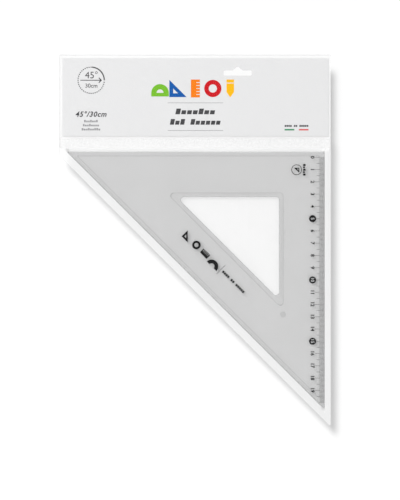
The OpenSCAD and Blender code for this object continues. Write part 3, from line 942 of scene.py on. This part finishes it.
# %% Stage finishes and planes
def one_sided(name, strength, paint=None):
    """A glow that is clear from behind, and that takes lamp light too if it has paint."""
    made = bpy.data.materials.new(name)
    made.use_nodes = True
    tree = made.node_tree
    tree.nodes.clear()
    start = Value(tree, tree.nodes.new("ShaderNodeNewGeometry").outputs["Backfacing"])
    lit = start.node("ShaderNodeEmission", Color=(1, 1, 1, 1), Strength=strength)
    if paint:
        matt = start.node("ShaderNodeBsdfDiffuse", Color=(*paint, 1))
        lit = start.node("ShaderNodeAddShader", i0=lit, i1=matt)
    clear = start.node("ShaderNodeBsdfTransparent")
    both = start.node("ShaderNodeMixShader", i0=start, i1=lit, i2=clear)
    start.node("ShaderNodeOutputMaterial", Surface=both)
    return made


def stage_plane(name, corners, finish):
    """A plane that isn't part of the object."""
    mesh = bpy.data.meshes.new(name)
    mesh.from_pydata(corners, [], [(0, 1, 2, 3)])
    mesh.materials.append(finish)
    made = bpy.data.objects.new(name, mesh)
    bpy.context.scene.collection.objects.link(made)
    return made


def upright(name, y, low, high, finish):
    """An upright stage plane between two corners in x and z. It gives the object no light."""
    corners = [(low[0], y, low[1]), (high[0], y, low[1]), (high[0], y, high[1]), (low[0], y, high[1])]
    made = stage_plane(name, corners, finish)
    for ray in ("visible_shadow", "visible_diffuse", "visible_glossy", "visible_transmission"):
        setattr(made, ray, False)
    return made


# %% The board
WALL_Y = 14 * MM
board_paint = one_sided("white_board", 0.43, (0.15, 0.15, 0.15))
wall_board = upright("white_board", WALL_Y, (-1.5, -1.2), (1.5, 1.2), board_paint)
print("board", round(WALL_Y / MM), "mm behind the slot")

# %% A bright panel behind the slot
# The slot is the one place where the board shows in the card's own shadow. A small glowing panel
# there keeps it white.
PANEL_GAP = 0.5 * MM
panel_x = SLOT_W / 2 + 2 * MM
upright("slot_panel", WALL_Y - PANEL_GAP, (-panel_x, -9 * MM), (panel_x, 5 * MM),
        one_sided("slot_panel", 0.98))

# %% The floor
floor_paint, floor_shader, floor_place = finish("pale_floor", Roughness=0.8)
floor_tone = tint(floor_place, grain(floor_place, 6, 2), (0.86, 0.86, 0.86), (0.9, 0.9, 0.9))
floor_place.put(floor_shader.inputs["Base Color"], floor_tone)
FLOOR_Z = -0.40
FLOOR_HALF = 3
floor_corners = [(-FLOOR_HALF, -FLOOR_HALF), (FLOOR_HALF, -FLOOR_HALF),
                 (FLOOR_HALF, FLOOR_HALF), (-FLOOR_HALF, FLOOR_HALF)]
stage_plane("pale_floor", [(x, y, FLOOR_Z) for x, y in floor_corners], floor_paint)
print("floor at", FLOOR_Z)

# %% [markdown]
# ## Light
# A soft key light from the upper left gives the plate's edges their shade. The world fills in
# from all sides, and is plain white where the camera looks straight at it. The board's lamp is a
# sun with a wide angle: the angle sets how soft the shadow's edge is, its direction how far the
# shadow falls.

# %% World
world = bpy.data.worlds.new("studio")
world.use_nodes = True
bpy.context.scene.world = world
sky = world.node_tree
sky.nodes.clear()
seen = Value(sky, sky.nodes.new("ShaderNodeLightPath").outputs["Is Camera Ray"])
fill = seen.node("ShaderNodeBackground", Color=(1, 1, 1, 1), Strength=0.62)
plain_white = seen.node("ShaderNodeBackground", Color=(1, 1, 1, 1), Strength=1.0)
both = seen.node("ShaderNodeMixShader", i0=seen, i1=fill, i2=plain_white)
seen.node("ShaderNodeOutputWorld", Surface=both)

# %% Lamps
def lamp(name, kind, place, target, **values):
    """A lamp at a place, turned to a target."""
    data = bpy.data.lights.new(name, kind)
    for key, value in values.items():
        setattr(data, key, value)
    made = bpy.data.objects.new(name, data)
    made.location = place
    made.rotation_euler = (Vector(target) - Vector(place)).to_track_quat("-Z", "Y").to_euler()
    bpy.context.scene.collection.objects.link(made)
    return made


middle = (cad_box[0] + cad_box[1]) / 2
key = lamp("key", "AREA", middle + Vector((-2.4, -3.0, 2.4)), middle, energy=121, size=2.4)
back_fill = lamp("back_fill", "AREA", middle + Vector((0.7, 1.2, 0.5)), middle, energy=6, size=1.0)
shade_lamp = lamp("shade_lamp", "SUN", middle + Vector((-0.46, -1, 0.72)), middle, energy=11.8,
                  angle=math.radians(22))
only_board = bpy.data.collections.new("only_board")
only_board.objects.link(wall_board)
shade_lamp.light_linking.receiver_collection = only_board
print("lamps:", key.name, back_fill.name, shade_lamp.name)

# %% [markdown]
# ## Camera
# The view is straight on, at the height of the object's middle, with a long lens so that the
# edges stay parallel.

# %% Camera
VIEW_H = 0.408                         # height of what the picture shows
SHIFT_X, SHIFT_Z = 4.15 * MM, -7.6 * MM  # the aim, from the object's middle
camera_data = bpy.data.cameras.new("camera")
camera_data.lens = 100
camera_data.sensor_width = 36
camera = bpy.data.objects.new("camera", camera_data)
distance = VIEW_H * camera_data.lens / camera_data.sensor_width
camera.location = (middle.x + SHIFT_X, middle.y - distance, middle.z + SHIFT_Z)
camera.rotation_euler = (math.pi / 2, 0, 0)
bpy.context.scene.collection.objects.link(camera)
bpy.context.scene.camera = camera
bpy.context.scene.view_settings.view_transform = "Standard"
bpy.context.scene.cycles.transparent_max_bounces = 24
print("camera distance:", round(distance, 3), "m")
